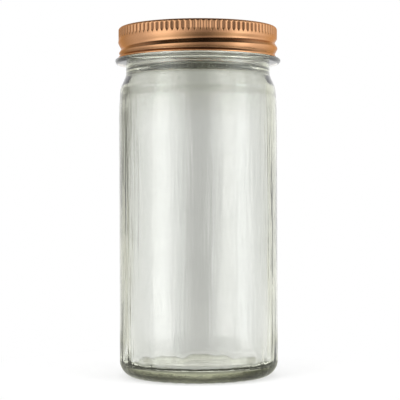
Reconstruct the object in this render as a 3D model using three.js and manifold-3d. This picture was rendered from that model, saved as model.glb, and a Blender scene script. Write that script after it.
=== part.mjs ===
// A glass spice jar with a copper-coloured screw cap.
// Millimetres, +Z up. The origin is under the middle of the base, and the front of the jar faces -Y.
import * as THREE from 'three';
import { mergeVertices } from 'three/addons/utils/BufferGeometryUtils.js';
import Module from 'manifold-3d';

const wasm = await Module();
wasm.setup();

const { clamp, degToRad, lerp, smoothstep } = THREE.MathUtils;
const fullTurn = 2 * Math.PI;
const quarterTurn = Math.PI / 2;

// Glass: base and body
const bodyRadius = 25.4;
const bodyWall = 2.55;
const bodyHeight = 85; // from the table to where the body starts to draw in
const heelRadius = 3.75;
const bearingWidth = 2.6; // flat ring that the jar stands on
const pushUp = 1.6; // hollow under the middle of the base
const floorHeight = 4; // inside floor above the table
const floorCornerRadius = 3;

// Glass: shoulder and neck
const taperHeight = 6.3;
const taperAngle = degToRad(3.3);
const shoulderAngle = degToRad(24.2); // lean from upright
const shoulderRadius = 5;
const neckInset = 2.25; // how far the neck stands in from the body
const neckFillet = 4;
const neckWall = 1.75;
const neckLength = 2.95; // plain neck under the bead
const innerShoulderRise = 4.45; // the inside draws in this much higher than the outside
const innerShoulderAngle = degToRad(9.5);
const innerShoulderRadius = 15;

// Glass: carrying bead, rim and thread
const beadProjection = 3.45;
const beadUnderRadius = 1.2;
const beadTopRadius = 0.4;
const finishHeight = 8.65; // from the top of the bead to the rim
const lipRadius = 0.8;
const threadPitch = 4.233;
const threadTurns = 1.35;
const threadTopAngle = degToRad(128); // counted anticlockwise from the front, seen from above
const threadTopDrop = 1.15; // from the rim to the middle of the thread's upper end
const threadRunOut = degToRad(55);
const threadDepth = 1.35;
const threadCrestWidth = 0.8;
const threadRootWidth = 2;
const threadBury = 0.3; // how deep the rib is rooted in the neck

// Liner and cap
const linerThickness = 1;
const linerEdgeGap = 0.3;
const seatGap = 0.05;
const sheet = 0.25;
const capCornerRadius = 0.8;
const fluteCount = 92;
const knurlDepth = 0.4;
const knurlHeight = 3.2;
const knurlFade = 0.7;
const lobeShare = 0.6; // share of a flute that its lobe takes up
const valleySharpness = 6;
const threadRunningGap = 0.35; // from the glass thread to the inside of the knurl
const threadOverlap = 0.3; // how far the rolled thread reaches in under the glass thread
const threadFlankGap = 0.4;
const grooveLower = 1.9; // from the bottom of the rolled thread down to the crest below it
const grooveUpper = 1.2; // the least run of its upper flank
const grooveRise = 0.2; // how far that flank runs up into the knurl
const hemProud = 0.15;
const hemRise = 0.5;
const hemGap = 0.35; // from the glass thread to the rolled edge
const hemSqueeze = 0.6; // share of the rolled edge that the end of the rolled thread presses in
const beadGap = 0.25; // from the bead to the rolled edge

// Facets
const jarColumns = 60;
const ribStepCount = 75;
const grooveRowCount = 8;
const hemStepCount = 4;

// Worked out from the sizes above
const neckRadius = bodyRadius - neckInset;
const boreRadius = neckRadius - neckWall;
const bodyBore = bodyRadius - bodyWall;
const bearingRadius = bodyRadius - heelRadius - bearingWidth;
const taperRadius = bodyRadius - taperHeight * Math.tan(taperAngle);
const taperTop = bodyHeight + taperHeight;
const shoulderTop = shoulderOutline().at(-1).y;
const beadBottom = shoulderTop + neckLength;
const beadTop = beadBottom + beadUnderRadius + beadTopRadius;
const beadRadius = neckRadius + beadProjection;
const rimHeight = beadTop + finishHeight;
const threadRadius = neckRadius + threadDepth;
const threadFootAngle = threadTopAngle - threadTurns * fullTurn;

const linerBottom = rimHeight + seatGap;
const capTop = linerBottom + linerThickness + seatGap + sheet;
const capBottom = beadTop + beadGap;
const skirtBore = threadRadius + threadRunningGap + knurlDepth;
const skirtRadius = skirtBore + sheet;
const knurlTop = capTop - capCornerRadius;
const knurlBottom = knurlTop - knurlHeight;
const hemTop = capBottom + 2 * hemRise;
const hemRadius = skirtRadius + hemProud;
const hemBore = threadRadius + hemGap;
const grooveDepth = skirtBore - threadRadius + threadOverlap;
const grooveLongest = threadPitch - grooveLower;
const grooveReach = (grooveLongest / quarterTurn) * Math.acos(Math.sqrt(1 - threadOverlap / grooveDepth));
const grooveDrop = threadCrestWidth / 2 + threadFlankGap + grooveReach;
const linerRadius = skirtRadius - capCornerRadius - linerEdgeGap;

// Points of an outline along an arc, as radius and height
function arc(x, y, radius, start, end, steps) {
  return new THREE.EllipseCurve(x, y, radius, radius, start, end, end < start).getPoints(steps);
}

// Outside of the shoulder, from the top of the taper to the foot of the neck
function shoulderOutline() {
  const startX = taperRadius - shoulderRadius * Math.cos(taperAngle);
  const startY = taperTop - shoulderRadius * Math.sin(taperAngle);
  const turnIn = arc(startX, startY, shoulderRadius, taperAngle, shoulderAngle, 3);
  const neckFall = neckFillet * (1 - Math.cos(shoulderAngle));
  const slope = (turnIn.at(-1).x - neckRadius - neckFall) / Math.tan(shoulderAngle);
  const neckFoot = turnIn.at(-1).y + slope + neckFillet * Math.sin(shoulderAngle);
  const turnUp = arc(neckRadius + neckFillet, neckFoot, neckFillet, Math.PI + shoulderAngle, Math.PI, 3);
  return [...turnIn, ...turnUp];
}

// Rounded ring that stands out under the cap
function beadOutline() {
  const noseHeight = beadBottom + beadUnderRadius;
  return [
    new THREE.Vector2(neckRadius, beadBottom),
    ...arc(beadRadius - beadUnderRadius, noseHeight, beadUnderRadius, -quarterTurn, 0, 3),
    ...arc(beadRadius - beadTopRadius, noseHeight, beadTopRadius, 0, quarterTurn, 2),
    new THREE.Vector2(neckRadius, beadTop),
  ];
}

// Rounded lip with a flat land for the liner
function rimOutline() {
  const lipHeight = rimHeight - lipRadius;
  return [
    ...arc(neckRadius - lipRadius, lipHeight, lipRadius, 0, quarterTurn, 3),
    ...arc(boreRadius + lipRadius, lipHeight, lipRadius, quarterTurn, Math.PI, 3),
  ];
}

// Inside of the jar, from the foot of the bore to the middle of the floor
function insideOutline() {
  const bend = innerShoulderRadius;
  const bendFall = bend * (1 - Math.cos(innerShoulderAngle));
  const slope = (bodyBore - boreRadius - 2 * bendFall) / Math.tan(innerShoulderAngle);
  const lowerHeight = bodyHeight + innerShoulderRise;
  const upperHeight = lowerHeight + slope + 2 * bend * Math.sin(innerShoulderAngle);
  const cornerHeight = floorHeight + floorCornerRadius;
  return [
    ...arc(boreRadius + bend, upperHeight, bend, Math.PI, Math.PI + innerShoulderAngle, 3),
    ...arc(bodyBore - bend, lowerHeight, bend, innerShoulderAngle, 0, 3),
    ...arc(bodyBore - floorCornerRadius, cornerHeight, floorCornerRadius, 0, -quarterTurn, 4),
    new THREE.Vector2(0, floorHeight),
  ];
}

function jarOutline() {
  const domeRadius = (bearingRadius ** 2 + pushUp ** 2) / (2 * pushUp);
  const domeEdge = Math.acos(bearingRadius / domeRadius);
  return [
    ...arc(0, pushUp - domeRadius, domeRadius, quarterTurn, domeEdge, 3),
    ...arc(bodyRadius - heelRadius, heelRadius, heelRadius, -quarterTurn, 0, 4),
    new THREE.Vector2(bodyRadius, bodyHeight),
    ...shoulderOutline(),
    ...beadOutline(),
    ...rimOutline(),
    ...insideOutline(),
  ];
}

// Height of the middle of the glass thread at an angle of its helix
function threadHeight(turn) {
  return rimHeight - threadTopDrop + (threadPitch * (turn - threadTopAngle)) / fullTurn;
}

// Rises from 0 at both ends of the helix to 1 along its full stretch
function runOut(turn) {
  const fromEnd = Math.min(threadTopAngle - turn, turn - threadFootAngle);
  return smoothstep(fromEnd, 0, threadRunOut);
}

function place(radius, angle, height) {
  return [radius * Math.sin(angle), -radius * Math.cos(angle), height];
}

function meshGeometry(positions, triangles) {
  const geometry = new THREE.BufferGeometry();
  geometry.setAttribute('position', new THREE.Float32BufferAttribute(positions, 3));
  geometry.setIndex(triangles);
  return geometry;
}

// Helical rib of the glass thread, whose crest sinks into the neck at both ends
function threadRib() {
  const rootRadius = neckRadius - threadBury;
  const cornerCount = 4;
  const positions = [];
  const triangles = [];
  for (let step = 0; step <= ribStepCount; step += 1) {
    const turn = lerp(threadFootAngle, threadTopAngle, step / ribStepCount);
    const height = threadHeight(turn);
    const crestRadius = lerp(neckRadius - threadBury / 2, threadRadius, runOut(turn));
    positions.push(...place(rootRadius, turn, height - threadRootWidth / 2));
    positions.push(...place(crestRadius, turn, height - threadCrestWidth / 2));
    positions.push(...place(crestRadius, turn, height + threadCrestWidth / 2));
    positions.push(...place(rootRadius, turn, height + threadRootWidth / 2));
  }
  for (let step = 0; step < ribStepCount; step += 1) {
    for (let corner = 0; corner < cornerCount; corner += 1) {
      const here = step * cornerCount + corner;
      const beside = step * cornerCount + ((corner + 1) % cornerCount);
      triangles.push(here, here + cornerCount, beside + cornerCount);
      triangles.push(here, beside + cornerCount, beside);
    }
  }
  const last = ribStepCount * cornerCount;
  triangles.push(0, 1, 2, 0, 2, 3);
  triangles.push(last, last + 2, last + 1, last, last + 3, last + 2);
  return meshGeometry(positions, triangles);
}

// Closed mesh as a solid that can be joined: shared corners merged and empty triangles dropped
function solidOf(geometry) {
  geometry.deleteAttribute('normal');
  geometry.deleteAttribute('uv');
  const merged = mergeVertices(geometry);
  const corners = merged.getIndex().array;
  const triVerts = [];
  for (let first = 0; first < corners.length; first += 3) {
    const [a, b, c] = corners.slice(first, first + 3);
    if (a !== b && b !== c && c !== a) {
      triVerts.push(a, b, c);
    }
  }
  return new wasm.Manifold(new wasm.Mesh({
    numProp: 3,
    vertProperties: new Float32Array(merged.getAttribute('position').array),
    triVerts: new Uint32Array(triVerts),
  }));
}

function jarGeometry() {
  const turned = new THREE.LatheGeometry(jarOutline(), jarColumns);
  turned.rotateX(quarterTurn);
  const joined = solidOf(turned).add(solidOf(threadRib())).getMesh();
  return meshGeometry(Array.from(joined.vertProperties), Array.from(joined.triVerts));
}

// Wide rounded lobes with narrow valleys halfway between them
function knurlInset(angle) {
  const phase = (angle * fluteCount) / fullTurn;
  return knurlDepth * Math.abs(Math.sin(Math.PI * phase)) ** valleySharpness;
}

// Rolled thread, as a groove in the skirt that runs just under the glass thread
function grooveInset(angle, height) {
  let inset = 0;
  for (let lap = -Math.ceil(threadTurns) - 1; lap <= 0; lap += 1) {
    const turn = angle + lap * fullTurn;
    const bottom = threadHeight(turn) - grooveDrop;
    const upper = clamp(knurlBottom + grooveRise - bottom, grooveUpper, grooveLongest);
    const offset = (height - bottom) / (height > bottom ? upper : grooveLower);
    if (Math.abs(offset) < 1) {
      const profile = Math.cos(quarterTurn * offset) ** 2;
      inset = Math.max(inset, grooveDepth * profile * runOut(turn));
    }
  }
  return inset;
}

function skirtSpot(angle, height, radius) {
  const inset = Math.max(knurlInset(angle), grooveInset(angle, height));
  return { angle, radius: radius - inset, height };
}

// Rolled lower edge: the lower half of an oval from the outside to the inside
function hemSpot(angle, swing) {
  const pressed = hemSqueeze * grooveInset(angle, capBottom + hemRise) / grooveDepth;
  const outer = lerp(hemRadius, hemBore, pressed);
  const middle = (outer + hemBore) / 2;
  const radius = middle + (outer - middle) * Math.cos(swing);
  return { angle, radius, height: capBottom + hemRise * (1 - Math.sin(swing)) };
}

// Rings of the cap's skin, from the middle of its top over the outside and back up the inside
function capRings() {
  const flute = fullTurn / fluteCount;
  const lobes = Array.from({ length: fluteCount }, (_, index) => index * flute);
  const shoulder = (flute * lobeShare) / 2;
  const knurl = lobes.flatMap((lobe) => [lobe - shoulder, lobe + shoulder, lobe + flute / 2]);
  const even = (spot) => lobes.map((angle) => ({ angle, radius: spot.x, height: spot.y }));
  const skirtRing = (angles, height, radius) => angles.map((angle) => skirtSpot(angle, height, radius));
  const skirt = (radius) => {
    const rows = [
      skirtRing(knurl, knurlTop - knurlFade, radius),
      skirtRing(knurl, knurlBottom + knurlFade, radius),
    ];
    for (let row = 0; row <= grooveRowCount; row += 1) {
      rows.push(skirtRing(lobes, lerp(knurlBottom, hemTop, row / grooveRowCount), radius));
    }
    return rows;
  };
  const cornerX = skirtRadius - capCornerRadius;
  const outerCorner = arc(cornerX, knurlTop, capCornerRadius, quarterTurn, 0, 2);
  const innerCorner = arc(cornerX, knurlTop, capCornerRadius - sheet, 0, quarterTurn, 2);
  const hem = [];
  for (let step = 0; step <= hemStepCount; step += 1) {
    hem.push(lobes.map((angle) => hemSpot(angle, (Math.PI * step) / hemStepCount)));
  }
  return [
    [{ angle: 0, radius: 0, height: capTop }],
    ...outerCorner.map(even),
    ...skirt(skirtRadius),
    ...hem,
    ...skirt(skirtBore).reverse(),
    ...innerCorner.map(even),
    [{ angle: 0, radius: 0, height: capTop - sheet }],
  ];
}

// Angle of a ring's spot, counted on past the full turn
function angleAt(ring, index) {
  return ring[index % ring.length].angle + fullTurn * Math.floor(index / ring.length);
}

// Triangles between two rings with any number of spots, by going round both together
function joinRings(upper, lower, upperStart, lowerStart) {
  const triangles = [];
  const upperSteps = upper.length > 1 ? upper.length : 0;
  const lowerSteps = lower.length > 1 ? lower.length : 0;
  let i = 0;
  let j = 0;
  while (i < upperSteps || j < lowerSteps) {
    const upperNext = i < upperSteps ? angleAt(upper, i + 1) : Infinity;
    const lowerNext = j < lowerSteps ? angleAt(lower, j + 1) : Infinity;
    triangles.push(upperStart + (i % upper.length), lowerStart + (j % lower.length));
    if (upperNext <= lowerNext) {
      i += 1;
      triangles.push(upperStart + (i % upper.length));
    } else {
      j += 1;
      triangles.push(lowerStart + (j % lower.length));
    }
  }
  return triangles;
}

function capGeometry() {
  const rings = capRings();
  const positions = [];
  const triangles = [];
  let upperStart = 0;
  rings.forEach((ring, level) => {
    const lowerStart = positions.length / 3;
    ring.forEach((spot) => positions.push(...place(spot.radius, spot.angle, spot.height)));
    if (level > 0) {
      triangles.push(...joinRings(rings[level - 1], ring, upperStart, lowerStart));
    }
    upperStart = lowerStart;
  });
  return meshGeometry(positions, triangles);
}

function linerGeometry() {
  const disc = new THREE.CylinderGeometry(linerRadius, linerRadius, linerThickness, jarColumns);
  disc.rotateX(quarterTurn);
  return disc;
}

function piece(name, geometry, material) {
  const mesh = new THREE.Mesh(geometry, new THREE.MeshStandardMaterial(material));
  mesh.name = name;
  return mesh;
}

const clearGlass = { color: 0xdfe2da, roughness: 0.05, metalness: 0, transparent: true, opacity: 0.35 };
const copperFinish = { color: 0xb8805c, roughness: 0.32, metalness: 1 };
const whiteLiner = { color: 0xe8e6df, roughness: 0.8, metalness: 0 };

const glassJar = piece('glass_jar', jarGeometry(), clearGlass);
const screwCap = piece('screw_cap', capGeometry(), copperFinish);
const capLiner = piece('cap_liner', linerGeometry(), whiteLiner);
capLiner.position.z = linerBottom + linerThickness / 2;

const spiceJar = new THREE.Group();
spiceJar.add(glassJar, screwCap, capLiner);

export default spiceJar;
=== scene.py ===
"""Looks of a glass spice jar with a knurled copper-coloured screw cap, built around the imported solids."""

import math

import bpy
import numpy as np
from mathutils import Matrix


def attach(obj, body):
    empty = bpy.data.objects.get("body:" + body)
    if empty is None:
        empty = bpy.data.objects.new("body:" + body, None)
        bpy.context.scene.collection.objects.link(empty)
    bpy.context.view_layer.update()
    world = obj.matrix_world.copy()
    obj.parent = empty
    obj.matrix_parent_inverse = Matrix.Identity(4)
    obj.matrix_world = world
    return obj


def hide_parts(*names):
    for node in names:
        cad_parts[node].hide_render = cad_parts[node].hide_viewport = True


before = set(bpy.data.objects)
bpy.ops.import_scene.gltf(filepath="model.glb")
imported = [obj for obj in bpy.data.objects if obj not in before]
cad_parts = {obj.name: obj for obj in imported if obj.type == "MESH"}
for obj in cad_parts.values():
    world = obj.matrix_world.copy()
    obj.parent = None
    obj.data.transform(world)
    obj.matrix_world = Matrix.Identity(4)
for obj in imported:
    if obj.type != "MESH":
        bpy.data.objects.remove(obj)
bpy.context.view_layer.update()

# Lengths of the pieces are in millimetres and angles in degrees, as on a maker's drawing.
MM = 0.001

# Glass, the same sizes as in the solids
BODY_RADIUS = 25.4
BODY_WALL = 2.55
BODY_HEIGHT = 85.0
BEARING_RADIUS = 19.05
PUSH_UP = 1.6
FLOOR_HEIGHT = 4.0
TAPER_HEIGHT = 6.3
TAPER_ANGLE = 3.3
SHOULDER_ANGLE = 24.2
SHOULDER_RADIUS = 5.0
NECK_INSET = 2.25
NECK_FILLET = 4.0
NECK_WALL = 1.75
NECK_LENGTH = 2.95
BEAD_PROJECTION = 3.45
BEAD_UNDER = 1.2
BEAD_OVER = 0.4
FINISH_HEIGHT = 8.65
LIP_RADIUS = 0.8
THREAD_PITCH = 4.233
THREAD_TURNS = 1.35
THREAD_TOP_ANGLE = 128.0
THREAD_TOP_DROP = 1.15
THREAD_RUN_OUT = 55.0
THREAD_DEPTH = 1.35
THREAD_CREST = 0.8
THREAD_ROOT = 2.0

# Liner and cap, the same sizes as in the solids
LINER_THICKNESS = 1.0
LINER_EDGE_GAP = 0.3
SEAT_GAP = 0.05
SHEET = 0.25
CAP_CORNER = 0.8
FLUTES = 92
KNURL_DEPTH = 0.4
KNURL_HEIGHT = 3.2
RUNNING_GAP = 0.35
THREAD_OVERLAP = 0.3
FLANK_GAP = 0.4
GROOVE_LOWER = 1.9
GROOVE_UPPER = 1.2
GROOVE_RISE = 0.2
HEM_PROUD = 0.15
HEM_GAP = 0.35
HEM_SQUEEZE = 0.6

# Worked out from the sizes above
NECK_RADIUS = BODY_RADIUS - NECK_INSET
BORE_RADIUS = NECK_RADIUS - NECK_WALL
BODY_BORE = BODY_RADIUS - BODY_WALL
TAPER_TOP = BODY_HEIGHT + TAPER_HEIGHT
TAPER_RADIUS = BODY_RADIUS - TAPER_HEIGHT * math.tan(math.radians(TAPER_ANGLE))
BEAD_RADIUS = NECK_RADIUS + BEAD_PROJECTION
THREAD_RADIUS = NECK_RADIUS + THREAD_DEPTH
THREAD_FOOT_ANGLE = THREAD_TOP_ANGLE - 360 * THREAD_TURNS
SKIRT_BORE = THREAD_RADIUS + RUNNING_GAP + KNURL_DEPTH
SKIRT_RADIUS = SKIRT_BORE + SHEET
HEM_RADIUS = SKIRT_RADIUS + HEM_PROUD
HEM_BORE = THREAD_RADIUS + HEM_GAP
GROOVE_DEPTH = SKIRT_BORE - THREAD_RADIUS + THREAD_OVERLAP
GROOVE_LONGEST = THREAD_PITCH - GROOVE_LOWER
GROOVE_REACH = GROOVE_LONGEST / (math.pi / 2) * math.acos(math.sqrt(1 - THREAD_OVERLAP / GROOVE_DEPTH))
GROOVE_DROP = THREAD_CREST / 2 + FLANK_GAP + GROOVE_REACH
LINER_RADIUS = SKIRT_RADIUS - CAP_CORNER - LINER_EDGE_GAP

# Only in the looks: a rounder heel, a tighter inner corner and a longer inner shoulder than the solids have
HEEL_RADIUS = 5.0
BEARING_WIDTH = BODY_RADIUS - HEEL_RADIUS - BEARING_RADIUS
FLOOR_CORNER = 2.0
INNER_SHOULDER_ANGLE = 8.0
INNER_SHOULDER_RADIUS = 15.0
INNER_SHOULDER_FOOT = 87.9

# Only in the looks: finer forms of the glass
JAR_COLUMNS = 288
TAPER_EASE_START = 2
# Points that ease the body into its taper, in from the body and up from its top
TAPER_EASE = ((0.01, -0.8), (0.05, 0.6))
NOSE_DROP = 0.2
BEAD_FILLET = 0.4
FINISH_FILLET = 0.3
CREST_EASE = 0.15
ROOT_EASE = 0.1
SEAM_ANGLES = (43.75, -136.25)
SEAM_PROUD = 0.03
SEAM_FOOT = 1.5
BEARING_RIBS = 36
RIB_LENGTH = 2.9
RIB_DEPTH = 0.4
NECK_BULGE = 0.35
NECK_BULGE_HEIGHT = 98.5
NECK_BULGE_REACH = 1.6
FLOOR_CROWN = 0.35
FLOOR_RINGS = 0.08
FLOOR_RING_PACE = 14
FLOOR_SWIRL = 0.32
FLOOR_SWIRL_PACE = 5

# Waves of the inner wall: depth, number round the jar, rise over which they lean by a radian, and start
WALL_WAVES = ((0.05, 3, 13, 0.4), (0.035, 5, -9, 2.1), (0.022, 8, 6, 1.1), (0.03, 2, 21, 4))
WALL_WAVES_FOOT = 7
WALL_WAVES_GROW = (7.5, 16)
WALL_WAVES_FADE = (80, 89)
# Waves of the corner round the inner floor: depth, number round the jar, and start
CORNER_WAVES = ((0.10, 9, 0.6), (0.08, 17, 2.2), (0.06, 29, 4.1))
CORNER_WAVES_TOP = 10
CORNER_WAVES_GROW = (FLOOR_HEIGHT, FLOOR_HEIGHT + 0.9)
CORNER_WAVES_FADE = (5.5, 9.5)

# Only in the looks: finer forms of the cap and the liner
CAP_COLUMNS = FLUTES * 12
CAP_TOP_RINGS = (0, 10, 20, 23)
BAND_BULGE = 0.15
BAND_FADE = (-1.5, 0.6)
KNURL_VALLEY = 0.32
KNURL_LOBE = 0.1
KNURL_CURVE = 1.4
KNURL_RUN_OUT = 1.4
KNURL_HEAD = 0.3
KNURL_INSIDE = 0.65
GROOVE_PRESS = 0.85
GROOVE_EASE = 0.22
GROOVE_SINK = 0.18
HEM_NECK = 0.62
HEM_NECK_RISE = 1.7
# How strong the painted shade is in the crease over the hem, and how far below the top of the hem it reaches
PAINTED_HEM_SHADE = 0.7
PAINTED_HEM_SHADE_REACH = 0.15
HEM_CURL = 0.25
HEM_RISE = 0.56
BEAD_GAP = 0.12
# Points of the crease over the hem, out from the drawn-in sheet and down from the top of the hem
CREASE_FOOT = ((0.02, 0.12), (0.06, 0.22))
# Points of the hem's inner edge, out from its bore and up from its foot
HEM_EDGE = ((0.2, 0), (0.05, 0.08), (0, 0.25))
HEM_STEP = 0.1
LINER_COLUMNS = 120
LINER_RINGS = (0, 8, 16, 20)
LINER_EASE = 0.25

# How close a vertex lies to the surface that it belongs to
NEAR = 0.01


def arc(middle, height, bend, start, end, steps):
    """Points of an outline along an arc, as radius and height."""
    swings = [math.radians(start + (end - start) * step / steps) for step in range(steps + 1)]
    return [(middle + bend * math.cos(swing), height + bend * math.sin(swing)) for swing in swings]


def run(start, end, steps):
    """Points of an outline along a straight run, without its first point."""
    across, up = end[0] - start[0], end[1] - start[1]
    shares = [step / steps for step in range(1, steps + 1)]
    return [(start[0] + across * share, start[1] + up * share) for share in shares]


def soft_step(value, low, high):
    """Rises smoothly from 0 at low to 1 at high."""
    share = np.clip((value - low) / (high - low), 0, 1)
    return share * share * (3 - 2 * share)


# The shoulder decides how high everything above it stands.
LEAN = math.radians(SHOULDER_ANGLE)
shoulder_turn_in = arc(
    TAPER_RADIUS - SHOULDER_RADIUS * math.cos(math.radians(TAPER_ANGLE)),
    TAPER_TOP - SHOULDER_RADIUS * math.sin(math.radians(TAPER_ANGLE)),
    SHOULDER_RADIUS, TAPER_ANGLE, SHOULDER_ANGLE, 8)
slope_start = shoulder_turn_in[-1]
slope_inset = slope_start[0] - NECK_RADIUS - NECK_FILLET * (1 - math.cos(LEAN))
SHOULDER_TOP = slope_start[1] + slope_inset / math.tan(LEAN) + NECK_FILLET * math.sin(LEAN)
BEAD_BOTTOM = SHOULDER_TOP + NECK_LENGTH
BEAD_TOP = BEAD_BOTTOM + BEAD_UNDER + BEAD_OVER
RIM_HEIGHT = BEAD_TOP + FINISH_HEIGHT
LINER_BOTTOM = RIM_HEIGHT + SEAT_GAP
CAP_TOP = LINER_BOTTOM + LINER_THICKNESS + SEAT_GAP + SHEET
CAP_BOTTOM = BEAD_TOP + BEAD_GAP
KNURL_TOP = CAP_TOP - CAP_CORNER
KNURL_BOTTOM = KNURL_TOP - KNURL_HEIGHT
HEM_TOP = CAP_BOTTOM + 2 * HEM_RISE
GROOVE_TOP = KNURL_BOTTOM + GROOVE_RISE


def draw_outline(name, outline):
    """One vertex, extruded point by point along an outline in the plane through the axis."""
    bpy.ops.object.select_all(action="DESELECT")
    bpy.ops.mesh.primitive_plane_add(size=MM)
    piece = bpy.context.object
    piece.name = name
    piece.data.name = name
    bpy.ops.object.mode_set(mode="EDIT")
    bpy.ops.mesh.select_all(action="SELECT")
    bpy.ops.mesh.merge(type="CENTER")
    here = (0.0, 0.0)
    for index, spot in enumerate(outline):
        step = ((spot[0] - here[0]) * MM, 0.0, (spot[1] - here[1]) * MM)
        if index == 0:
            bpy.ops.transform.translate(value=step)
        else:
            bpy.ops.mesh.extrude_vertices_move(TRANSFORM_OT_translate={"value": step})
        here = spot
    return piece


def spin_round(piece, columns):
    """The outline spun into a closed body that faces outwards."""
    closeness = 0.001 * MM
    bpy.ops.object.mode_set(mode="OBJECT")
    bpy.ops.object.transform_apply(location=True, rotation=True, scale=True)
    bpy.ops.object.modifier_add(type="SCREW")
    spin = piece.modifiers[0]
    spin.steps = columns
    spin.render_steps = columns
    spin.use_merge_vertices = True
    spin.merge_threshold = closeness
    bpy.ops.object.modifier_apply(modifier=spin.name)
    bpy.ops.object.mode_set(mode="EDIT")
    bpy.ops.mesh.select_all(action="SELECT")
    bpy.ops.mesh.remove_doubles(threshold=closeness)
    bpy.ops.mesh.normals_make_consistent(inside=False)
    bpy.ops.object.mode_set(mode="OBJECT")
    bpy.ops.object.shade_smooth()
    return piece


def ring_spots(mesh):
    """Radius, angle from the front and height of each vertex."""
    spots = np.empty(len(mesh.vertices) * 3)
    mesh.vertices.foreach_get("co", spots)
    across, along, height = spots.reshape(-1, 3).T / MM
    return np.hypot(across, along), np.degrees(np.arctan2(across, -along)), height


def reshape(piece, rule):
    """Moves each vertex by a rule on its radius, its angle from the front and its height."""
    mesh = piece.data
    radius, angle, height = ring_spots(mesh)
    radius, height = rule(radius, angle, height)
    turn = np.radians(angle)
    moved = np.stack([radius * np.sin(turn), -radius * np.cos(turn), height], axis=1) * MM
    mesh.vertices.foreach_set("co", moved.ravel())
    mesh.update()


def thread_middle(turn):
    """Height of the middle of the glass thread at an angle of its helix."""
    return RIM_HEIGHT - THREAD_TOP_DROP + THREAD_PITCH * (turn - THREAD_TOP_ANGLE) / 360


def run_out(turn):
    """1 along the full stretch of the thread, falling to 0 at both ends of its helix."""
    from_end = np.minimum(THREAD_TOP_ANGLE - turn, turn - THREAD_FOOT_ANGLE)
    return soft_step(from_end, 0, THREAD_RUN_OUT)


def laps(angle):
    """The angles of the helix that pass a spot of the neck."""
    return [angle + 360 * lap for lap in (-2, -1, 0)]


def jar_outline():
    """Outline of the glass from under the base, up the outside, over the rim and down the inside."""
    dome = (BEARING_RADIUS ** 2 + PUSH_UP ** 2) / (2 * PUSH_UP)
    dome_edge = math.degrees(math.acos(BEARING_RADIUS / dome))
    outline = arc(0, PUSH_UP - dome, dome, 90, dome_edge, 14)
    outline += run(outline[-1], (BEARING_RADIUS + BEARING_WIDTH, 0), 6)
    outline += arc(BODY_RADIUS - HEEL_RADIUS, HEEL_RADIUS, HEEL_RADIUS, -90, 0, 18)[1:]
    outline += run(outline[-1], (BODY_RADIUS, BODY_HEIGHT - TAPER_EASE_START), 12)
    outline += [(BODY_RADIUS - inset, BODY_HEIGHT + rise) for inset, rise in TAPER_EASE]
    outline += run((BODY_RADIUS, BODY_HEIGHT), shoulder_turn_in[0], 6)[1:]
    outline += shoulder_turn_in[1:]
    neck_foot = arc(NECK_RADIUS + NECK_FILLET, SHOULDER_TOP, NECK_FILLET, 180 + SHOULDER_ANGLE, 180, 8)
    outline += run(outline[-1], neck_foot[0], 4) + neck_foot[1:]
    fillet_height = BEAD_BOTTOM - BEAD_FILLET
    outline += run(outline[-1], (NECK_RADIUS, fillet_height), 5)
    outline += arc(NECK_RADIUS + BEAD_FILLET, fillet_height, BEAD_FILLET, 180, 90, 5)[1:]
    under = BEAD_UNDER - NOSE_DROP
    over = BEAD_OVER + NOSE_DROP
    outline += arc(BEAD_RADIUS - under, BEAD_BOTTOM + under, under, -90, 0, 12)
    outline += arc(BEAD_RADIUS - over, BEAD_TOP - over, over, 0, 90, 8)[1:]
    finish_foot = NECK_RADIUS + FINISH_FILLET
    outline += run(outline[-1], (finish_foot, BEAD_TOP), 5)
    outline += arc(finish_foot, BEAD_TOP + FINISH_FILLET, FINISH_FILLET, 270, 180, 4)[1:]
    lip_height = RIM_HEIGHT - LIP_RADIUS
    outline += run(outline[-1], (NECK_RADIUS, lip_height), 40)
    outline += arc(NECK_RADIUS - LIP_RADIUS, lip_height, LIP_RADIUS, 0, 90, 10)[1:]
    outline += arc(BORE_RADIUS + LIP_RADIUS, lip_height, LIP_RADIUS, 90, 180, 10)
    outline += inside_outline(outline[-1])
    return outline


def inside_outline(start):
    """Inside of the glass, from the bore down to the middle of the floor."""
    lean = math.radians(INNER_SHOULDER_ANGLE)
    bend = INNER_SHOULDER_RADIUS
    lower = arc(BODY_BORE - bend, INNER_SHOULDER_FOOT, bend, INNER_SHOULDER_ANGLE, 0, 8)
    inset = lower[0][0] - BORE_RADIUS - bend * (1 - math.cos(lean))
    upper_height = lower[0][1] + inset / math.tan(lean) + bend * math.sin(lean)
    upper = arc(BORE_RADIUS + bend, upper_height, bend, 180, 180 + INNER_SHOULDER_ANGLE, 8)
    corner = arc(BODY_BORE - FLOOR_CORNER, FLOOR_HEIGHT + FLOOR_CORNER, FLOOR_CORNER, 0, -90, 14)
    outline = run(start, upper[0], 30) + upper[1:]
    outline += run(outline[-1], lower[0], 24) + lower[1:]
    outline += run(outline[-1], corner[0], 36) + corner[1:]
    outline += run(outline[-1], (0, FLOOR_HEIGHT), 14)
    return outline


def press_thread(radius, angle, height):
    """The glass thread, raised out of the wall of the finish."""
    on_finish = (radius > NECK_RADIUS - LIP_RADIUS) & (height > BEAD_TOP + 0.2)
    raised = np.zeros_like(radius)
    for turn in laps(angle):
        off = np.abs(height - thread_middle(turn))
        flank = 1 - soft_step(off, THREAD_CREST / 2 - CREST_EASE, THREAD_ROOT / 2 + ROOT_EASE)
        raised = np.maximum(raised, THREAD_DEPTH * flank * run_out(turn))
    return np.where(on_finish, radius + raised, radius), height


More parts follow.
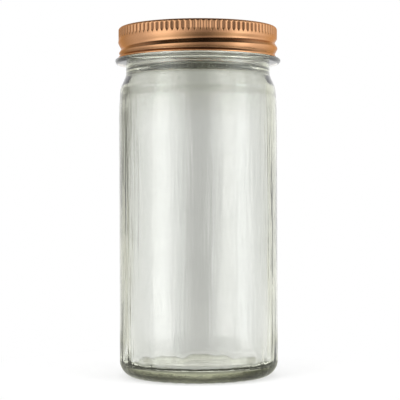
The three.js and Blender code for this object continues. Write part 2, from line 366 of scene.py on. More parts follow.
def blow_inside(radius, angle, height):
    """Slight unevenness of the blown inside: waves in its wall, corner and floor, and a thicker neck."""
    turn = np.radians(angle)
    wall = (np.abs(radius - BODY_BORE) < NEAR) & (height > WALL_WAVES_FOOT)
    wave = sum(
        depth * np.sin(count * turn + height / lean + start) for depth, count, lean, start in WALL_WAVES)
    wave *= soft_step(height, *WALL_WAVES_GROW) * (1 - soft_step(height, *WALL_WAVES_FADE))
    radius = np.where(wall, radius + wave, radius)
    flat = BODY_BORE - FLOOR_CORNER
    corner = (radius > flat) & (radius < BODY_BORE + 2 * NEAR)
    corner &= (height > FLOOR_HEIGHT - 2 * NEAR) & (height < CORNER_WAVES_TOP)
    ripple = sum(depth * np.sin(count * turn + start) for depth, count, start in CORNER_WAVES)
    ripple *= soft_step(height, *CORNER_WAVES_GROW) * (1 - soft_step(height, *CORNER_WAVES_FADE))
    radius = np.where(corner, radius - ripple, radius)
    neck = (radius < BODY_BORE - 0.1) & (height > BODY_HEIGHT)
    bulge = NECK_BULGE * np.exp(-((height - NECK_BULGE_HEIGHT) / NECK_BULGE_REACH) ** 2)
    radius = np.where(neck, radius - bulge, radius)
    floor = (np.abs(height - FLOOR_HEIGHT) < NEAR) & (radius < flat + NEAR)
    share = radius / flat
    swirl = FLOOR_SWIRL * np.sin(2 * turn + share * FLOOR_SWIRL_PACE) * share * (1 - share)
    crown = FLOOR_CROWN * (1 - share ** 2) + FLOOR_RINGS * np.sin(share * FLOOR_RING_PACE) * (1 - share)
    return radius, np.where(floor, height + crown + swirl, height)


def stipple_bearing(radius, angle, height):
    """Short radial ribs that a moulded jar stands on."""
    across = (radius - BEARING_RADIUS) / RIB_LENGTH
    on_ring = (height < 0.5) & (across > -NEAR) & (across < 1 + NEAR)
    along_rib = np.sin(np.pi * np.clip(across, 0, 1))
    between = 0.5 - 0.5 * np.cos(np.radians(angle) * BEARING_RIBS)
    return radius, np.where(on_ring, height + RIB_DEPTH * along_rib * between, height)


def raise_seam(radius, angle, height):
    """The two mould seams, as faint lines up the outside of the glass."""
    outside = (radius > BODY_BORE + 0.5) & (height > SEAM_FOOT) & (height < BEAD_TOP)
    column = 360 / JAR_COLUMNS
    line = np.zeros_like(radius)
    for seam in SEAM_ANGLES:
        line = np.maximum(line, 1 - np.abs((angle - seam + 180) % 360 - 180) / column)
    return np.where(outside, radius + SEAM_PROUD * np.clip(line, 0, 1), radius), height


def make_jar():
    """The jar: its outline spun, then the forms that aren't round."""
    jar = spin_round(draw_outline("jar_glass", jar_outline()), JAR_COLUMNS)
    for rule in (raise_seam, press_thread, blow_inside, stipple_bearing):
        reshape(jar, rule)
    jar.data.materials.append(clear_glass())
    return jar


def cap_outline():
    """Outline of the sheet from the middle of the top, down the outside, round the hem and up the inside."""
    corner = SKIRT_RADIUS - CAP_CORNER
    neck = SKIRT_RADIUS + BAND_BULGE - HEM_NECK
    curl = arc(HEM_RADIUS - HEM_CURL, CAP_BOTTOM + HEM_CURL, HEM_CURL, 30, -90, 7)
    crease_top, crease_end = [(neck + out, HEM_TOP - drop) for out, drop in CREASE_FOOT]
    outline = [(ring, CAP_TOP) for ring in CAP_TOP_RINGS]
    outline += arc(corner, KNURL_TOP, CAP_CORNER, 90, 0, 8)
    outline += run(outline[-1], (SKIRT_RADIUS, HEM_TOP), 38)
    outline += [crease_top] + run(crease_end, curl[0], 3) + curl[1:]
    outline += [(HEM_BORE + out, CAP_BOTTOM + rise) for out, rise in HEM_EDGE]
    outline += [(HEM_BORE, HEM_TOP - HEM_STEP), (SKIRT_BORE, HEM_TOP)]
    outline += run(outline[-1], (SKIRT_BORE, KNURL_TOP), 14)
    outline += arc(corner, KNURL_TOP, CAP_CORNER - SHEET, 0, 90, 3)[1:]
    outline += [(20, CAP_TOP - SHEET), (0, CAP_TOP - SHEET)]
    return outline


def even_fall(off):
    """Falls from 1 to 0 as off goes from 0 to 1: a straight flank, eased into a round bottom and crest."""
    off = np.clip(off, 0, 1)
    ease = GROOVE_EASE
    flank = (off - ease / 2) / (1 - ease)
    bottom = off ** 2 / (2 * ease * (1 - ease))
    crest = 1 - (1 - off) ** 2 / (2 * ease * (1 - ease))
    return 1 - np.where(off < ease, bottom, np.where(off > 1 - ease, crest, flank))


def groove_share(angle, height):
    """1 in the bottom of the rolled thread, falling to 0 at the knurl, at the crest below and at its ends."""
    share = np.zeros_like(height)
    for turn in laps(angle):
        bottom = thread_middle(turn) - GROOVE_DROP - GROOVE_SINK
        reach = np.clip(GROOVE_TOP - bottom, GROOVE_UPPER, GROOVE_LONGEST)
        off = np.abs(height - bottom) / np.where(height > bottom, reach, GROOVE_LOWER)
        share = np.maximum(share, even_fall(off) * run_out(turn))
    return share


def knurl_depth(angle, height):
    """How deep the knurl is pressed: round lobes, and valleys that run out to a point at both ends."""
    phase = np.abs((angle * FLUTES / 360 + 0.5) % 1 - 0.5) * 2
    foot = 1 - soft_step(height, KNURL_BOTTOM, KNURL_BOTTOM + KNURL_RUN_OUT)
    head = soft_step(height, KNURL_TOP - KNURL_HEAD, CAP_TOP)
    valley = np.clip((phase - KNURL_LOBE) / (1 - KNURL_LOBE), 0, 1) ** KNURL_CURVE
    return KNURL_VALLEY * np.maximum(valley - foot - head, 0)


def hem_neck(height):
    """How far the sheet is drawn in above the hem."""
    return HEM_NECK * np.clip(1 - (height - HEM_TOP) / HEM_NECK_RISE, 0, 1) ** 2


def roll_skirt(radius, angle, height):
    """The knurl and the rolled thread, pressed into both sides of the sheet, and the pressed hem."""
    groove = groove_share(angle, height)
    skirt = (height > HEM_TOP - NEAR) & (radius > SKIRT_BORE - NEAR)
    outside = skirt & (radius > SKIRT_RADIUS - NEAR)
    knurl = knurl_depth(angle, height) * np.where(outside, 1, KNURL_INSIDE)
    press = np.maximum(np.maximum(knurl, GROOVE_PRESS * groove), hem_neck(height))
    below_knurl = 1 - soft_step(height, KNURL_BOTTOM + BAND_FADE[0], KNURL_BOTTOM + BAND_FADE[1])
    bulge = BAND_BULGE * below_knurl * (1 - groove)
    formed = np.where(skirt, radius - press, radius) + np.where(outside, bulge, 0)
    pressed = HEM_SQUEEZE * groove_share(angle, np.full_like(height, CAP_BOTTOM + HEM_RISE))
    hem = (height < HEM_TOP - NEAR) & (radius > HEM_BORE - NEAR)
    squeezed = radius - (radius - HEM_BORE) * pressed
    return np.where(hem, squeezed, formed), height


def paint_crease_shade(cap):
    """An attribute for painted shade in the creases: 1 in the valleys of the knurl, less above the hem, 0
    everywhere else.
    """
    radius, angle, height = ring_spots(cap.data)
    valley = knurl_depth(angle, height) / KNURL_VALLEY
    valley[height < KNURL_BOTTOM] = 0
    above_hem = PAINTED_HEM_SHADE * hem_neck(height) / HEM_NECK
    share = np.where(height > HEM_TOP - PAINTED_HEM_SHADE_REACH, np.maximum(valley, above_hem), 0)
    share[radius < SKIRT_RADIUS - HEM_NECK - 0.05] = 0
    painted_crease_shade = cap.data.attributes.new("painted_crease_shade", "FLOAT", "POINT")
    painted_crease_shade.data.foreach_set("value", share)


def lacquer_inside(cap):
    """Gives the faces of the cap's inner side its second material, before the skirt is rolled."""
    for face in cap.data.polygons:
        outwards = face.normal.x * face.center.x + face.normal.y * face.center.y
        under_top = face.normal.z < -0.5 and face.center.z > KNURL_TOP * MM
        if outwards < 0 and face.center.z > HEM_TOP * MM or under_top:
            face.material_index = 1


def make_cap():
    """The cap: its sheet spun round, lacquered inside, then knurled and rolled."""
    cap = spin_round(draw_outline("cap_shell", cap_outline()), CAP_COLUMNS)
    cap.data.materials.append(copper_finish())
    cap.data.materials.append(cap_lacquer())
    lacquer_inside(cap)
    reshape(cap, roll_skirt)
    # Marks where painted shade darkens the creases
    paint_crease_shade(cap)
    return cap


def liner_outline():
    """Outline of the soft disc, with eased edges."""
    top = LINER_BOTTOM + LINER_THICKNESS
    edge = LINER_RADIUS - LINER_EASE
    outline = [(ring, top) for ring in LINER_RINGS]
    outline += arc(edge, top - LINER_EASE, LINER_EASE, 90, 0, 5)
    outline += arc(edge, LINER_BOTTOM + LINER_EASE, LINER_EASE, 0, -90, 5)
    outline += [(ring, LINER_BOTTOM) for ring in reversed(LINER_RINGS)]
    return outline


def make_liner():
    """The loose sealing disc."""
    liner = spin_round(draw_outline("liner_disc", liner_outline()), LINER_COLUMNS)
    liner.data.materials.append(white_liner())
    return liner


def node(tree, kind, inputs=None, **settings):
    """A node with its settings and its unlinked input values."""
    made = tree.nodes.new(kind)
    for name, value in settings.items():
        setattr(made, name, value)
    for name, value in (inputs or {}).items():
        made.inputs[name].default_value = value
    return made


def blank_material(name):
    """A new material with its tree and its one shader."""
    material = bpy.data.materials.new(name)
    material.use_nodes = True
    tree = material.node_tree
    tree.nodes.clear()
    output = node(tree, "ShaderNodeOutputMaterial")
    shader = node(tree, "ShaderNodeBsdfPrincipled")
    tree.links.new(shader.outputs["BSDF"], output.inputs["Surface"])
    return material, tree, shader


def group_tree(name, inputs, outputs, output_kind):
    """An empty node group with its sockets, and its input and output nodes."""
    tree = bpy.data.node_groups.new(name, "ShaderNodeTree")
    for title, kind in inputs:
        tree.interface.new_socket(title, in_out="INPUT", socket_type=kind)
    for title in outputs:
        tree.interface.new_socket(title, in_out="OUTPUT", socket_type=output_kind)
    return tree, node(tree, "NodeGroupInput"), node(tree, "NodeGroupOutput")


def maths(tree, operation, *values):
    """A value worked out from others, each of them linked or a plain number."""
    made = node(tree, "ShaderNodeMath", operation=operation)
    for socket, value in zip(made.inputs, values):
        if isinstance(value, (int, float)):
            socket.default_value = value
        else:
            tree.links.new(value, socket)
    return made.outputs[0]


def ramped(tree, value, low, high):
    """A value from 0 to 1, spread from low to high."""
    spread = node(tree, "ShaderNodeMapRange", {"To Min": low, "To Max": high})
    tree.links.new(value, spread.inputs["Value"])
    return spread.outputs["Result"]


def stepped(tree, value, start, end, before=0.0, after=1.0):
    """One number before a start and another after an end, with a soft step between."""
    limits = {"From Min": start, "From Max": end, "To Min": before, "To Max": after}
    spread = node(tree, "ShaderNodeMapRange", limits, interpolation_type="SMOOTHSTEP")
    tree.links.new(value, spread.inputs["Value"])
    return spread.outputs["Result"]


def banded(tree, value, middle, outer, inner):
    """1 within an inner distance of a middle, falling softly to 0 at an outer one."""
    apart = maths(tree, "ABSOLUTE", maths(tree, "SUBTRACT", value, middle))
    return stepped(tree, apart, outer, inner)


def blended(tree, share, first, second):
    """Two colours, each of them linked or plain, mixed by a share from 0 to 1."""
    mix = node(tree, "ShaderNodeMix", data_type="RGBA")
    tree.links.new(share, mix.inputs["Factor"])
    for socket, colour in ((mix.inputs[6], first), (mix.inputs[7], second)):
        if isinstance(colour, tuple):
            socket.default_value = colour + (1,)
        else:
            tree.links.new(colour, socket)
    return mix.outputs[2]


def combined(tree, way, first, second):
    """Two linked colours, combined in full in one of the ways of the mix node."""
    mix = node(tree, "ShaderNodeMix", {"Factor": 1.0}, data_type="RGBA", blend_type=way)
    tree.links.new(first, mix.inputs[6])
    tree.links.new(second, mix.inputs[7])
    return mix.outputs[2]


def shaded_by(tree, colour, value, low):
    """A colour, darkened to a share of itself where a value is 1."""
    return combined(tree, "MULTIPLY", colour, ramped(tree, value, 1.0, low))


def shader_mix(tree, share, first, second):
    """Two shaders of a material or world, mixed by a share from 0 to 1."""
    mix = node(tree, "ShaderNodeMixShader")
    for socket, source in zip(mix.inputs, (share, first, second)):
        tree.links.new(source, socket)
    return mix.outputs[0]


def bumped(tree, shader, height, depth):
    """Presses a height from 0 to 1 into the surface, at a depth in millimetres."""
    bump = node(tree, "ShaderNodeBump", {"Strength": 1.0, "Distance": depth * MM})
    tree.links.new(height, bump.inputs["Height"])
    tree.links.new(bump.outputs["Normal"], shader.inputs["Normal"])
    return bump


def uneven_group():
    """Soft patches and a fine grain, both from 0 to 1, at the sizes that a material asks for."""
    inputs = [("Place", "NodeSocketVector")]
    inputs += [(title, "NodeSocketFloat") for title in ("Patch Scale", "Grain Scale")]
    tree, start, end = group_tree("uneven", inputs, ["Patches", "Grain"], "NodeSocketFloat")
    for size, output, detail in (("Patch Scale", "Patches", 3), ("Grain Scale", "Grain", 2)):
        noise = node(tree, "ShaderNodeTexNoise", {"Detail": detail, "Roughness": 0.55})
        tree.links.new(start.outputs["Place"], noise.inputs["Vector"])
        tree.links.new(start.outputs[size], noise.inputs["Scale"])
        tree.links.new(stepped(tree, noise.outputs["Fac"], 0.3, 0.7), end.inputs[output])
    return tree


def streak_group():
    """Streaks from 0 to 1 along the axis that the stretch makes small."""
    inputs = [("Place", "NodeSocketVector"), ("Stretch", "NodeSocketVector")]
    tree, start, end = group_tree("streaks", inputs, ["Streaks"], "NodeSocketFloat")
    drawn = node(tree, "ShaderNodeVectorMath", operation="MULTIPLY")
    tree.links.new(start.outputs["Place"], drawn.inputs[0])
    tree.links.new(start.outputs["Stretch"], drawn.inputs[1])
    noise = node(tree, "ShaderNodeTexNoise", {"Scale": 1.0, "Detail": 2, "Roughness": 0.5})
    tree.links.new(drawn.outputs["Vector"], noise.inputs["Vector"])
    tree.links.new(noise.outputs["Fac"], end.inputs["Streaks"])
    return tree


def own_place(tree):
    """The object's own coordinates."""
    return node(tree, "ShaderNodeTexCoord").outputs["Object"]


def around_axis(tree):
    """Distance from the axis, and height, in metres."""
    axes = node(tree, "ShaderNodeSeparateXYZ")
    tree.links.new(own_place(tree), axes.inputs["Vector"])
    flat = node(tree, "ShaderNodeCombineXYZ")
    tree.links.new(axes.outputs["X"], flat.inputs["X"])
    tree.links.new(axes.outputs["Y"], flat.inputs["Y"])
    distance = node(tree, "ShaderNodeVectorMath", operation="LENGTH")
    tree.links.new(flat.outputs["Vector"], distance.inputs[0])
    return distance.outputs["Value"], axes.outputs["Z"]


def along_rings(tree):
    """A place that stays the same all along a ring round the axis."""
    distance, height = around_axis(tree)
    rings = node(tree, "ShaderNodeCombineXYZ")
    tree.links.new(distance, rings.inputs["X"])
    tree.links.new(height, rings.inputs["Z"])
    return rings.outputs["Vector"]


def uneven(tree, patch_scale, grain_scale):
    """The shared patches and grain on the object's own coordinates."""
    group = node(tree, "ShaderNodeGroup", node_tree=UNEVEN)
    group.inputs["Patch Scale"].default_value = patch_scale
    group.inputs["Grain Scale"].default_value = grain_scale
    tree.links.new(own_place(tree), group.inputs["Place"])
    return group.outputs["Patches"], group.outputs["Grain"]


def streaks(tree, place, stretch):
    """The shared streaks, with their number to the metre along each axis."""
    group = node(tree, "ShaderNodeGroup", node_tree=STREAKS)
    group.inputs["Stretch"].default_value = stretch
    tree.links.new(place, group.inputs["Place"])
    return group.outputs["Streaks"]


# In each material UNEVEN counts the patches and the grains to the metre, and SHEEN is its range of roughness.
GLASS_UNEVEN = (70, 900)
GLASS_SHEEN = (0.0, 0.025)
GLASS_INDEX = 1.52
# Tints of the glass: in patches, and over the heights where they set in, painted shade on the shoulder and
# the neck and painted light on the bead
GLASS_TINTS = ((0.744, 0.751, 0.74), (0.764, 0.769, 0.76))
SHOULDER_ZONE = (80 * MM, 97 * MM)
NECK_ZONE = (94.5 * MM, 97.5 * MM)
BEAD_ZONE = (99.3 * MM, 100.4 * MM)
SHOULDER_PAINTED_SHADE = (0.648, 0.655, 0.622)
NECK_PAINTED_SHADE = (0.56, 0.57, 0.525)
BEAD_PAINTED_LIGHT = (0.84, 0.845, 0.825)
DEEP_COLOUR = (0.52, 0.53, 0.41, 1)
DEEP_DENSITY = 48
# The heel, outside the ring that the jar stands on: a paler tint that paints light, and a dark line of broken
# dashes that paints shade
HEEL_ZONE = ((BEARING_RADIUS + 2) * MM, (BEARING_RADIUS + 3) * MM)
HEEL_LIGHT_HEIGHTS = (6.0 * MM, 1.75 * MM)
HEEL_PAINTED_LIGHT_TINT = (0.98, 0.985, 0.96)
HEEL_LINE = (1.75 * MM, 0.75 * MM, 0.225 * MM)
HEEL_LINE_WANDER = 0.25 * MM
HEEL_PAINTED_SHADE_TINT = (0.07, 0.072, 0.055)
HEEL_DASH_LEAST = 0.65
# Streaks drawn in the glass, deeper at the heel and almost gone at the shoulder
BROAD_STREAKS = (330, 330, 22)
FINE_STREAKS = (1100, 1100, 45)
FINE_SHARE = 0.4
STREAK_DEPTH = 0.15
HEEL_STREAKS = (2.5 * MM, 6.5 * MM, 2.0)
SHOULDER_STREAKS = 0.04


def clear_glass():
    """Pressed glass: clear, olive where it is deep, with faint drawn streaks and a little haze in patches;
    painted shade on the shoulder, the neck and round the heel, painted light on the bead and low on the heel.
    """
    material, tree, shader = blank_material("clear_glass")
    link = tree.links.new
    patches = uneven(tree, *GLASS_UNEVEN)[0]
    distance, height = around_axis(tree)
    broad = streaks(tree, own_place(tree), BROAD_STREAKS)
    fine = streaks(tree, own_place(tree), FINE_STREAKS)
    shoulder = stepped(tree, height, *SHOULDER_ZONE)
    heel = stepped(tree, distance, *HEEL_ZONE)
    # Painted light: a paler tint low on the heel
    clear = maths(tree, "MULTIPLY", heel, stepped(tree, height, *HEEL_LIGHT_HEIGHTS))
    wandering = maths(tree, "ADD", height, ramped(tree, patches, -HEEL_LINE_WANDER, HEEL_LINE_WANDER))
    # Painted shade: a dark line that wanders round the heel, broken into dashes by the streaks
    line = maths(tree, "MULTIPLY", heel, banded(tree, wandering, *HEEL_LINE))
    painted_heel_shade = maths(tree, "MULTIPLY", line, ramped(tree, broad, HEEL_DASH_LEAST, 1.0))
    tint_and_painted_light = blended(tree, patches, *GLASS_TINTS)
    # Painted shade on the shoulder, the neck and the line round the heel, and painted light on the bead and
    # low on the heel, over the patchy tint
    for share, colour in (
            (shoulder, SHOULDER_PAINTED_SHADE),
            (stepped(tree, height, *NECK_ZONE), NECK_PAINTED_SHADE),
            (stepped(tree, height, *BEAD_ZONE), BEAD_PAINTED_LIGHT),
            (clear, HEEL_PAINTED_LIGHT_TINT),
            (painted_heel_shade, HEEL_PAINTED_SHADE_TINT)):
        tint_and_painted_light = blended(tree, share, tint_and_painted_light, colour)
    link(tint_and_painted_light, shader.inputs["Base Color"])
    link(ramped(tree, patches, *GLASS_SHEEN), shader.inputs["Roughness"])
    shader.inputs["IOR"].default_value = GLASS_INDEX
    shader.inputs["Transmission Weight"].default_value = 1
    drawn = maths(tree, "ADD", broad, ramped(tree, fine, 0.0, FINE_SHARE))
    low, high, deeper = HEEL_STREAKS
    deepened = ramped(tree, stepped(tree, height, low, high), deeper, 1.0)
    bump = bumped(tree, shader, maths(tree, "MULTIPLY", drawn, deepened), STREAK_DEPTH)
    link(ramped(tree, shoulder, 1.0, SHOULDER_STREAKS), bump.inputs["Strength"])
    inside = node(tree, "ShaderNodeVolumeAbsorption", {"Color": DEEP_COLOUR, "Density": DEEP_DENSITY})
    link(inside.outputs["Volume"], tree.nodes["Material Output"].inputs["Volume"])
    return material


LACQUER_UNEVEN = (160, 1400)
LACQUER_SHEEN = (0.34, 0.46)
LACQUER_TONES = ((0.8, 0.81, 0.7), (0.85, 0.86, 0.76))
LACQUER_PEEL = 0.02


def cap_lacquer():
    """Pale lacquer on the inner side of the sheet, with a slight orange peel."""
    material, tree, shader = blank_material("cap_lacquer")
    patches, grain = uneven(tree, *LACQUER_UNEVEN)
    tree.links.new(blended(tree, patches, *LACQUER_TONES), shader.inputs["Base Color"])
    tree.links.new(ramped(tree, grain, *LACQUER_SHEEN), shader.inputs["Roughness"])
    bumped(tree, shader, grain, LACQUER_PEEL)
    return material


COPPER_UNEVEN = (140, 2600)
COPPER_SHEEN = (0.15, 0.2)
COPPER_TONES = ((0.488, 0.252, 0.128), (0.525, 0.273, 0.141))
COPPER_GLANCE = (0.85, 0.6, 0.42, 1)
ROLLING_MARKS = (5200, 1, 5200)
ROLLING_SHADE = 0.9
ROLLING_DULL = 0.06
ROLLING_GRAIN = 0.6
ROLLING_DEPTH = 0.006
# Share of the copper's colour left by the painted shade in the creases
CREASE_SHADE = 0.36


def copper_finish():
    """Satin copper-coloured metal: rolling marks round the cap, soft patches, and painted shade in the
    creases.
    """
    material, tree, shader = blank_material("copper_finish")
    link = tree.links.new
    patches, grain = uneven(tree, *COPPER_UNEVEN)
    marks = streaks(tree, along_rings(tree), ROLLING_MARKS)
    painted_crease_shade = node(tree, "ShaderNodeAttribute", attribute_name="painted_crease_shade").outputs["Fac"]
    tone = shaded_by(tree, blended(tree, patches, *COPPER_TONES), marks, ROLLING_SHADE)
    # Painted shade: the copper darkened in the valleys of the knurl and over the hem
    link(shaded_by(tree, tone, painted_crease_shade, CREASE_SHADE), shader.inputs["Base Color"])
    shader.inputs["Metallic"].default_value = 1
    shader.inputs["Specular Tint"].default_value = COPPER_GLANCE
    satin = maths(tree, "ADD", ramped(tree, patches, *COPPER_SHEEN), ramped(tree, marks, 0.0, ROLLING_DULL))
    link(satin, shader.inputs["Roughness"])
    rolled = maths(tree, "ADD", marks, ramped(tree, grain, 0.0, ROLLING_GRAIN))
    bumped(tree, shader, rolled, ROLLING_DEPTH)
    return material


BOARD_UNEVEN = (90, 1800)
BOARD_SHEEN = (0.7, 0.9)
BOARD_TONES = ((0.78, 0.77, 0.72), (0.83, 0.82, 0.78))
PRINT_MIDDLE = (BORE_RADIUS + NECK_RADIUS) / 2 * MM
PRINT_OUTER = NECK_WALL * 0.6 * MM
PRINT_INNER = NECK_WALL * 0.35 * MM
PRINT_SHADE = 0.86
PRINT_DEPTH = 0.08
PRINT_GRAIN = 0.3


def white_liner():
    """Matt sealing board, with the print of the rim pressed into it."""
    material, tree, shader = blank_material("white_liner")
    link = tree.links.new
    patches, grain = uneven(tree, *BOARD_UNEVEN)
    print_ring = banded(tree, around_axis(tree)[0], PRINT_MIDDLE, PRINT_OUTER, PRINT_INNER)
    board = blended(tree, patches, *BOARD_TONES)
    link(shaded_by(tree, board, print_ring, PRINT_SHADE), shader.inputs["Base Color"])
    link(ramped(tree, grain, *BOARD_SHEEN), shader.inputs["Roughness"])
    pressed = maths(tree, "ADD", ramped(tree, print_ring, 1.0, 0.0), ramped(tree, grain, 0.0, PRINT_GRAIN))
    bumped(tree, shader, pressed, PRINT_DEPTH)
    return material


# From here on lengths are in metres.
STUDIO_STRENGTH = 7.2
AMBIENT = 0.95
AMBIENT_IN_GLASS = 2.8

# Brightness of the studio round the jar, by the angle from its front, to the right of it positive:
# first as the metal and the outer skin of the glass mirror it, then as it comes back from inside the glass
METAL_WALLS = [
    (-180, 0.9), (-152, 1.0), (-140, 0.85), (-124, 0.85), (-110, 1.0), (-85, 1.1), (-70, 1.6), (-62, 2.2),
    (-46, 2.4), (-36, 1.9), (-24, 1.35), (-12, 0.82), (-3, 0.6), (4, 0.52), (16, 0.48), (22, 0.55),
    (30, 0.88), (40, 1.15), (50, 1.6), (57, 2.2), (62, 2.45), (72, 2.45), (80, 1.9), (95, 1.6), (120, 1.35),
    (180, 0.9)]
GLASS_WALLS = [
    (-180, 2.0), (-166, 1.5), (-150, 0.8), (-124, 0.85), (-112, 3.2), (-100, 4.2), (-88, 4.2), (-72, 4.0),
    (-62, 8.0), (-46, 8.0), (-38, 4.2), (-28, 3.4), (-13, 1.0), (12, 1.0), (26, 3.2), (36, 4.2), (42, 4.6),
    (48, 4.4), (56, 4.0), (66, 8.0), (77, 8.0), (84, 4.2), (96, 3.8), (110, 3.4), (122, 1.1), (150, 0.9),
    (166, 1.6), (180, 2.0)]
# A dark screen behind the jar on the left, that only shows above the table
SCREEN = [(-180, 1.0), (-160, 0.9), (-150, 0.25), (-116, 0.25), (-102, 0.8), (-92, 1.0), (180, 1.0)]
SCREEN_FOOT = (2, -5)
# Share of that brightness by the height above the horizon
METAL_RISE = [
    (-90, 0.3), (-48, 0.36), (-36, 0.55), (-26, 0.9), (-16, 1.1), (18, 1.05), (28, 0.6), (38, 0.12),
    (48, 0.03), (90, 0.02)]
GLASS_RISE = [
    (-90, 1.0), (4, 1.0), (9, 1.35), (13, 1.1), (18, 0.6), (28, 0.45), (50, 0.4), (90, 0.35)]
# Least share of it on the far side of the jar, so that the top of the cap has light to mirror
BEHIND = (-0.1, 0.4)
BEHIND_LEFT = 0.55
# The table at the foot of the jar, in its shade: the angles below the horizon where that starts and is full
FOOT_SHADE = (-45, -60)
FOOT_ON_METAL = (0.6, 0.61, 0.53)
FOOT_IN_GLASS = (1.5, 1.52, 1.35)
# An unlit gap straight in front of the jar, in the glass: the angles from there where it is full and ends
FRONT_GAP = (5, 24)
FRONT_LEFT = 0.5
# Red, green and blue that a brighter part of the studio has more of, the brightness that is plain white,
# and the brightness from which the cast stays the same
COOL_CAST = ((0, 0.04, 0.06), 1, 3)
OLIVE_CAST = ((0, 0, 0.25), 1, 3)
DIM_OLIVE_CAST = ((0, 0, 0.1), 2.5, 2.5)


def shade_ramp(tree, angle, span, stops, strength, cast):
    """A ramp of shades over an angle from -span / 2 to span / 2, with a colour cast that grows with them."""
    shares, plain, most = cast
    edge = math.radians(span / 2)
    spread = node(tree, "ShaderNodeMapRange", {"From Min": -edge, "From Max": edge})
    tree.links.new(angle, spread.inputs["Value"])
    ramp = node(tree, "ShaderNodeValToRGB")
    tree.links.new(spread.outputs["Result"], ramp.inputs["Fac"])
    ramp.color_ramp.interpolation = "B_SPLINE"
    elements = ramp.color_ramp.elements
    while len(elements) < len(stops):
        elements.new(1.0)
    for element, (degrees, value) in zip(elements, stops):
        strayed = min(value, most) - plain
        element.position = degrees / span + 0.5
        element.color = [value / strength * (1 + share * strayed) for share in shares] + [1]
    return ramp.outputs["Color"]


def step_over_angle(tree, angle, limits, before=0.0, after=1.0):
    """A soft step between two angles in degrees."""
    start, end = limits
    return stepped(tree, angle, math.radians(start), math.radians(end), before, after)


def studio_group():
    """Node group for the bright and dark parts of the studio, by the direction from the jar."""
    tree, start, end = group_tree(
        "studio", [("Direction", "NodeSocketVector")], ["On metal", "In glass"], "NodeSocketColor")
    unit = node(tree, "ShaderNodeVectorMath", operation="NORMALIZE")
    tree.links.new(start.outputs["Direction"], unit.inputs[0])
    axes = node(tree, "ShaderNodeSeparateXYZ")
    tree.links.new(unit.outputs["Vector"], axes.inputs["Vector"])
    front = maths(tree, "MULTIPLY", axes.outputs["Y"], -1.0)
    around = maths(tree, "ARCTAN2", axes.outputs["X"], front)
    rise = maths(tree, "ARCSINE", axes.outputs["Z"])
    front_gap = step_over_angle(tree, maths(tree, "ARCCOSINE", front), FRONT_GAP, before=FRONT_LEFT)
    under_screen = step_over_angle(tree, rise, SCREEN_FOOT)
    screen = blended(tree, under_screen, shade_ramp(tree, around, 360, SCREEN, 1, OLIVE_CAST), (1, 1, 1))
    behind = stepped(tree, axes.outputs["Y"], *BEHIND, after=BEHIND_LEFT)
    at_foot = step_over_angle(tree, rise, FOOT_SHADE)
    for name, walls, heights, cast, foot, shades in (
            ("On metal", METAL_WALLS, METAL_RISE, COOL_CAST, FOOT_ON_METAL, ()),
            ("In glass", GLASS_WALLS, GLASS_RISE, DIM_OLIVE_CAST, FOOT_IN_GLASS, (front_gap, screen))):
        light = shade_ramp(tree, around, 360, walls, STUDIO_STRENGTH, cast)
        by_height = combined(tree, "LIGHTEN", shade_ramp(tree, rise, 180, heights, 1, OLIVE_CAST), behind)
        for shade in (by_height,) + shades:
            light = combined(tree, "MULTIPLY", light, shade)
        table = tuple(value / STUDIO_STRENGTH for value in foot)
        tree.links.new(blended(tree, at_foot, light, table), end.inputs[name])
    return tree


def has_met(tree, path, kind):
    """1 on a light path that has met a surface of a kind, and 0 on one that hasn't."""
    return maths(tree, "GREATER_THAN", path.outputs[kind + " Depth"], 0.5)


def mirrored(tree, studio, direction, glow_kind, straight):
    """What is seen straight or through glass stays as it is, and a reflection shows the studio instead."""
    room = node(tree, "ShaderNodeGroup", node_tree=studio)
    tree.links.new(direction, room.inputs["Direction"])
    path = node(tree, "ShaderNodeLightPath")
    through = has_met(tree, path, "Transmission")
    glow = node(tree, glow_kind, {"Strength": STUDIO_STRENGTH})
    seen = blended(tree, through, room.outputs["On metal"], room.outputs["In glass"])
    tree.links.new(seen, glow.inputs["Color"])
    return shader_mix(tree, has_met(tree, path, "Glossy"), straight, glow.outputs[0])


def light_studio(studio):
    """White surroundings: plain white seen straight on or through glass, the studio seen in reflections."""
    world = bpy.data.worlds.new("white_studio")
    bpy.context.scene.world = world
    world.use_nodes = True
    world.cycles.sampling_method = "NONE"
    tree = world.node_tree
    tree.nodes.clear()
    direction = node(tree, "ShaderNodeTexCoord").outputs["Generated"]
    white = node(tree, "ShaderNodeBackground", {"Color": (1, 1, 1, 1), "Strength": 1.0})
    shown = mirrored(tree, studio, direction, "ShaderNodeBackground", white.outputs[0])
    path = node(tree, "ShaderNodeLightPath")
    ambient = node(tree, "ShaderNodeBackground", {"Color": (1, 1, 1, 1)})
    level = ramped(tree, path.outputs["Transmission Depth"], AMBIENT, AMBIENT_IN_GLASS)
    tree.links.new(level, ambient.inputs["Strength"])
    lit = shader_mix(tree, has_met(tree, path, "Diffuse"), shown, ambient.outputs[0])
    output = node(tree, "ShaderNodeOutputWorld")
    tree.links.new(lit, output.inputs["Surface"])


LAMP_SIZE = 0.8


def area_lamp(name, spot, power):
    """A soft round lamp that lights the floor and the liner; reflections show the studio instead."""
    lamp = bpy.data.lights.new(name, "AREA")
    lamp.shape = "DISK"
    lamp.size = LAMP_SIZE
    lamp.energy = power
    holder = bpy.data.objects.new(name, lamp)
    bpy.context.scene.collection.objects.link(holder)
    holder.location = spot
    aim = -holder.location
    holder.rotation_euler = aim.to_track_quat("-Z", "Y").to_euler()
    holder.visible_glossy = False
    holder.visible_transmission = False
    holder.visible_camera = False


FLOOR_RADIUS = 1.05
FLOOR_SIDES = 96
FLOOR_UNEVEN = (25, 700)
FLOOR_SHEEN = (0.85, 0.95)
FLOOR_TONES = ((0.93, 0.93, 0.93), (0.95, 0.95, 0.95))
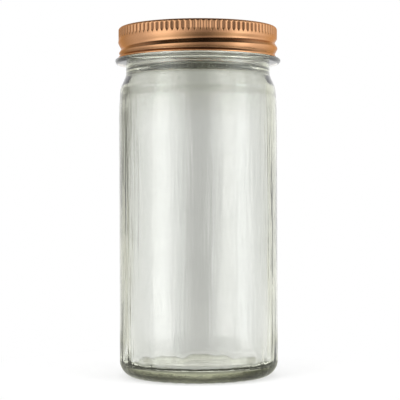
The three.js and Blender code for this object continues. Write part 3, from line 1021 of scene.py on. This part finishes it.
# Distances where the shadow starts to run out into white and is gone, and the white that it starts with
SHADOW_REACH = (0.027, 0.08)
SHADOW_WHITE = 0.55
# The same for the painted shade under the jar, a dimmer white as it is seen through the glass
SHADE_UNDER_JAR = (0.016, 0.028)
SHADE_UNDER_JAR_LEFT = 0.75
# Middle, outer reach and inner reach of the painted shadow, a dark ring on the floor where the jar stands
CONTACT_SHADOW_RING = (0.0217, 0.003, 0.0012)
CONTACT_SHADOW_COLOUR = (0.03, 0.031, 0.02, 1)
# Height from which the floor's part of the studio is worked out
MIRRORED_FROM = 0.08


def lay_floor(studio):
    """A pale floor that keeps the shadow near the jar and runs out into the white around it; through the
    glass it shows painted shade under the jar and a painted shadow ring where the jar stands.
    """
    bpy.ops.object.select_all(action="DESELECT")
    bpy.ops.mesh.primitive_circle_add(vertices=FLOOR_SIDES, radius=FLOOR_RADIUS, fill_type="NGON")
    floor = bpy.context.object
    floor.name = "pale_floor"
    material, tree, shader = blank_material("pale_floor")
    link = tree.links.new
    patches, grain = uneven(tree, *FLOOR_UNEVEN)
    link(blended(tree, patches, *FLOOR_TONES), shader.inputs["Base Color"])
    link(ramped(tree, grain, *FLOOR_SHEEN), shader.inputs["Roughness"])
    shader.inputs["Specular IOR Level"].default_value = 0
    distance = around_axis(tree)[0]
    behind_glass = has_met(tree, node(tree, "ShaderNodeLightPath"), "Transmission")
    white = node(tree, "ShaderNodeEmission", {"Color": (1, 1, 1, 1)})
    # Painted shade: the white dimmer under the jar
    link(stepped(tree, distance, *SHADE_UNDER_JAR, before=SHADE_UNDER_JAR_LEFT), white.inputs["Strength"])
    far = stepped(tree, distance, *SHADOW_REACH, before=SHADOW_WHITE)
    plain = maths(tree, "MAXIMUM", far, behind_glass)
    sweep = shader_mix(tree, plain, shader.outputs["BSDF"], white.outputs["Emission"])
    below = node(tree, "ShaderNodeVectorMath", {1: (0, 0, MIRRORED_FROM)}, operation="SUBTRACT")
    link(own_place(tree), below.inputs[0])
    shown = mirrored(tree, studio, below.outputs["Vector"], "ShaderNodeEmission", sweep)
    # Painted shadow: the dark ring where the jar stands, shown only through the glass
    contact_shadow_share = maths(tree, "MULTIPLY", banded(tree, distance, *CONTACT_SHADOW_RING), behind_glass)
    painted_contact_shadow = node(tree, "ShaderNodeEmission", {"Color": CONTACT_SHADOW_COLOUR})
    with_contact_shadow = shader_mix(tree, contact_shadow_share, shown, painted_contact_shadow.outputs["Emission"])
    link(with_contact_shadow, tree.nodes["Material Output"].inputs["Surface"])
    floor.data.materials.append(material)


CAMERA_SPOT = (0, -0.42585, 0.05644)
CAMERA_ROLL = 0.2
FOCAL_LENGTH = 118.85
SENSOR_WIDTH = 36
SIDE_SHIFT = 0.0043


def set_camera():
    """The camera of the photo: level, from the front, at about half the height of the jar."""
    lens = bpy.data.cameras.new("camera")
    lens.sensor_width = SENSOR_WIDTH
    lens.lens = FOCAL_LENGTH
    lens.shift_x = SIDE_SHIFT
    lens.clip_start = 0.01
    lens.clip_end = 20
    camera = bpy.data.objects.new("camera", lens)
    bpy.context.scene.collection.objects.link(camera)
    camera.location = CAMERA_SPOT
    camera.rotation_euler = (math.radians(90), math.radians(CAMERA_ROLL), 0)
    bpy.context.scene.camera = camera


UNEVEN = uneven_group()
STREAKS = streak_group()
for piece, node_name, body, slot in (
        (make_jar(), "glass_jar", "jar", "clear_glass"),
        (make_cap(), "screw_cap", "cap", "copper_finish"),
        (make_liner(), "cap_liner", "liner", "white_liner")):
    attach(piece, body)
    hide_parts(node_name)

studio = studio_group()
lay_floor(studio)
light_studio(studio)
area_lamp("key_lamp", (-0.7, -0.7, 0.9), 5)
area_lamp("fill_lamp", (0.8, -0.5, 0.8), 4)
set_camera()
bpy.context.scene.view_settings.view_transform = "Standard"
